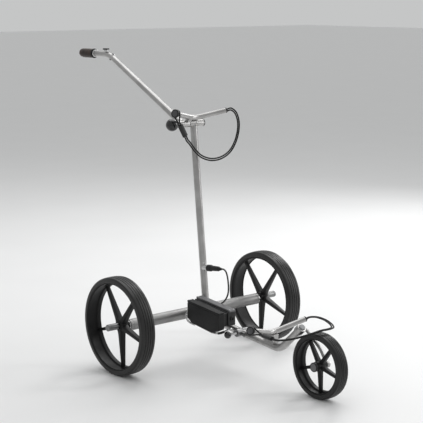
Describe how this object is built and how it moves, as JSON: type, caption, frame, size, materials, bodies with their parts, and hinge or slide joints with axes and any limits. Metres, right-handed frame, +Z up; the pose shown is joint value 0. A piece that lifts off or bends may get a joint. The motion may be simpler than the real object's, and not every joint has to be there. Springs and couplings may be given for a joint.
{
  "type": "electric golf trolley",
  "caption": "Folding electric golf trolley with spoked wheels, a bent front boom, a leaning mast, bag cradles with bungees and an offset folding handle.",
  "frame": {"origin": "on the ground under the centre of the bounding box", "axes": "+Z up, -Y towards the front wheel, -X the right-hand side of the person who walks behind it"},
  "size_m": [0.681, 1.195, 0.9591],
  "materials": {
    "titanium": "satin, fine brushed",
    "steel": "satin",
    "motor_metal": "machined",
    "grey_plastic": "matte",
    "black_plastic": "fine moulded grain",
    "gloss_black": "polished",
    "tyre_rubber": "matte, ribbed",
    "leather": "fine grain",
    "cord_black": "matte",
    "battery_skin": "fine leather-like grain"
  },
  "bodies": {
    "chassis": {"axle_tube": "titanium", "right_motor": "motor_metal", "left_motor": "motor_metal", "right_gearbox": "motor_metal", "left_gearbox": "motor_metal", "right_axle_bearing": "steel", "left_axle_bearing": "steel", "rear_boom": "titanium", "boom_hinge_eye": "titanium", "mast_tube": "titanium", "mast_hinge_barrel": "titanium", "controller_case": "black_plastic", "controller_lid": "grey_plastic", "battery_dock": "black_plastic", "battery_tray": "steel", "power_socket": "steel", "power_plug": "black_plastic", "power_lead": "cord_black", "cable_gland": "black_plastic"},
    "battery": {"battery_case": "battery_skin", "battery_lid": "battery_skin"},
    "handle": {"handle_tube": "titanium", "handle_hinge_barrel": "titanium", "upper_bag_cradle": "titanium", "upper_bungee_hook": "black_plastic", "upper_bungee_plug": "black_plastic", "upper_bungee": "cord_black", "upper_bungee_sleeve": "black_plastic", "handle_grip": "leather", "grip_collar": "black_plastic", "dial_boss": "steel", "charging_port": "black_plastic"},
    "speed_dial": {"speed_dial": "gloss_black"},
    "power_button": {"power_button": "black_plastic"},
    "upper_clamp": {"upper_clamp_stud": "steel", "upper_clamp_knob": "gloss_black"},
    "lower_clamp": {"lower_clamp_stud": "steel", "lower_clamp_knob": "gloss_black"},
    "front_frame": {"front_boom": "titanium", "front_boom_eye": "titanium", "lower_cradle_bracket": "titanium", "lower_bag_cradle": "titanium", "lower_bungee_hook": "black_plastic", "lower_bungee_plug": "black_plastic", "lower_bungee": "cord_black", "lower_bungee_sleeve": "black_plastic", "fork_head": "titanium", "fork_arm": "titanium", "front_axle": "steel"},
    "front_wheel": {"front_tyre": "tyre_rubber", "front_rim": "black_plastic"},
    "front_release": {"front_release_knob": "black_plastic"},
    "right_wheel": {"right_tyre": "tyre_rubber", "right_rim": "black_plastic", "right_drive_shaft": "steel"},
    "right_release": {"right_release_knob": "titanium"},
    "left_wheel": {"left_tyre": "tyre_rubber", "left_rim": "black_plastic", "left_drive_shaft": "steel"},
    "left_release": {"left_release_knob": "titanium"}
  },
  "joints": [
    {"name": "handle_fold", "type": "hinge", "parent": "chassis", "child": "handle", "pos_m": [0, 0.06058, 0.74101], "axis": [1, 0, 0], "range_deg": [-100, 0]},
    {"name": "front_fold", "type": "hinge", "parent": "chassis", "child": "front_frame", "pos_m": [0, -0.166, 0.12477], "axis": [1, 0, 0], "range_deg": [-90, 0]},
    {"name": "upper_clamp_turn", "type": "hinge", "parent": "chassis", "child": "upper_clamp", "pos_m": [0, 0.06058, 0.74101], "axis": [1, 0, 0], "range_deg": [0, 360]},
    {"name": "lower_clamp_turn", "type": "hinge", "parent": "chassis", "child": "lower_clamp", "pos_m": [0, -0.166, 0.12477], "axis": [1, 0, 0], "range_deg": [0, 360]},
    {"name": "right_wheel_spin", "type": "hinge", "parent": "chassis", "child": "right_wheel", "pos_m": [-0.296, 0.0545, 0.15], "axis": [1, 0, 0], "continuous": true},
    {"name": "left_wheel_spin", "type": "hinge", "parent": "chassis", "child": "left_wheel", "pos_m": [0.296, 0.0545, 0.15], "axis": [1, 0, 0], "continuous": true},
    {"name": "front_wheel_spin", "type": "hinge", "parent": "front_frame", "child": "front_wheel", "pos_m": [0, -0.5016, 0.0959], "axis": [1, 0, 0], "continuous": true},
    {"name": "right_release_pull", "type": "slide", "parent": "right_wheel", "child": "right_release", "axis": [-1, 0, 0], "range_m": [0, 0.004], "stiffness_N_per_m": 400, "springref_m": -0.002},
    {"name": "left_release_pull", "type": "slide", "parent": "left_wheel", "child": "left_release", "axis": [1, 0, 0], "range_m": [0, 0.004], "stiffness_N_per_m": 400, "springref_m": -0.002},
    {"name": "front_release_pull", "type": "slide", "parent": "front_wheel", "child": "front_release", "axis": [-1, 0, 0], "range_m": [0, 0.003], "stiffness_N_per_m": 400, "springref_m": -0.002},
    {"name": "battery_removal", "type": "slide", "parent": "chassis", "child": "battery", "axis": [-1, 0, 0], "range_m": [0, 0.12]},
    {"name": "speed_dial_turn", "type": "hinge", "parent": "handle", "child": "speed_dial", "pos_m": [-0.043, 0.457, 0.9543], "axis": [0, 0, 1], "range_deg": [0, 270]},
    {"name": "power_button_press", "type": "slide", "parent": "handle", "child": "power_button", "axis": [0, 0.4648, -0.8854], "range_m": [0, 0.0015], "stiffness_N_per_m": 300, "springref_m": -0.0015}
  ]
}
